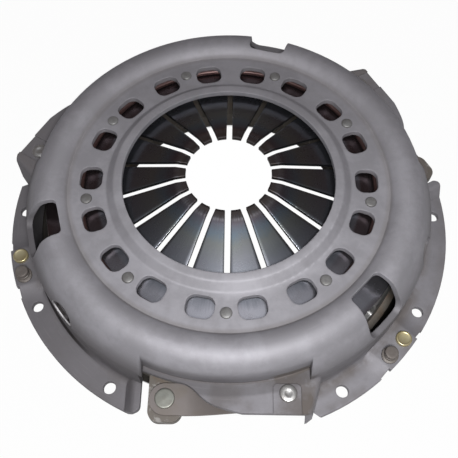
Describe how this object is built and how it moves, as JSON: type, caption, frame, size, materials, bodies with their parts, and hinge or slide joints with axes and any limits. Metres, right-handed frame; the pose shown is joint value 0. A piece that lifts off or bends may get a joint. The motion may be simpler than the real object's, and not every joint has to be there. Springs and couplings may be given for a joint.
{
  "type": "clutch pressure plate",
  "caption": "Diaphragm-spring clutch cover assembly: pressed steel cover with windows and strap tabs, slotted spring fingers and a cast pressure plate on drive straps.",
  "frame": {"origin": "centre of the bolt circle on the underside of the cover's flange, the face that meets the flywheel", "axes": "+Z along the clutch axis, away from the flywheel towards the gearbox; -Y through the strap tab that faces the picture's viewer"},
  "size_m": [0.3314, 0.3249, 0.0625],
  "materials": {
    "cover_steel": "phosphated, satin",
    "spring_steel": "heat tinted, satin",
    "wire_steel": "drawn wire",
    "rivet_steel": "satin",
    "strap_steel": "rolled spring steel",
    "bright_rivet": "bright",
    "lug_rivet_steel": "dull",
    "yellow_zinc": "yellow passivated zinc",
    "dark_rivet": "dark, unplated",
    "cast_iron": "as cast with machined friction face and fulcrum land"
  },
  "bodies": {
    "cover": {"cover": "cover_steel", "diaphragm_spring": "spring_steel", "fulcrum_ring_upper": "wire_steel", "fulcrum_ring_lower": "wire_steel", "fulcrum_rivets": "rivet_steel", "strap_1_leaf_1": "strap_steel", "strap_1_leaf_2": "strap_steel", "strap_1_leaf_3": "strap_steel", "strap_2_leaf_1": "strap_steel", "strap_2_leaf_2": "strap_steel", "strap_2_leaf_3": "strap_steel", "strap_3_leaf_1": "strap_steel", "strap_3_leaf_2": "strap_steel", "strap_3_leaf_3": "strap_steel", "tab_rivet_1": "bright_rivet", "tab_rivet_2": "bright_rivet", "tab_rivet_3": "bright_rivet", "balance_rivet_1": "yellow_zinc", "balance_rivet_2": "yellow_zinc", "balance_rivet_3": "yellow_zinc", "balance_weight_1": "dark_rivet", "balance_weight_2": "dark_rivet", "balance_weight_3": "dark_rivet"},
    "pressure_plate": {"pressure_plate": "cast_iron", "lug_rivet_1": "lug_rivet_steel", "lug_rivet_2": "lug_rivet_steel", "lug_rivet_3": "lug_rivet_steel"}
  },
  "joints": [
    {"name": "plate_lift", "type": "slide", "parent": "cover", "child": "pressure_plate", "axis": [0, 0, 1], "range_m": [0, 0.006], "stiffness_N_per_m": 20000, "springref_m": -0.01, "deforming": ["diaphragm_spring", "strap_1_leaf_1", "strap_1_leaf_2", "strap_1_leaf_3", "strap_2_leaf_1", "strap_2_leaf_2", "strap_2_leaf_3", "strap_3_leaf_1", "strap_3_leaf_2", "strap_3_leaf_3"]}
  ]
}
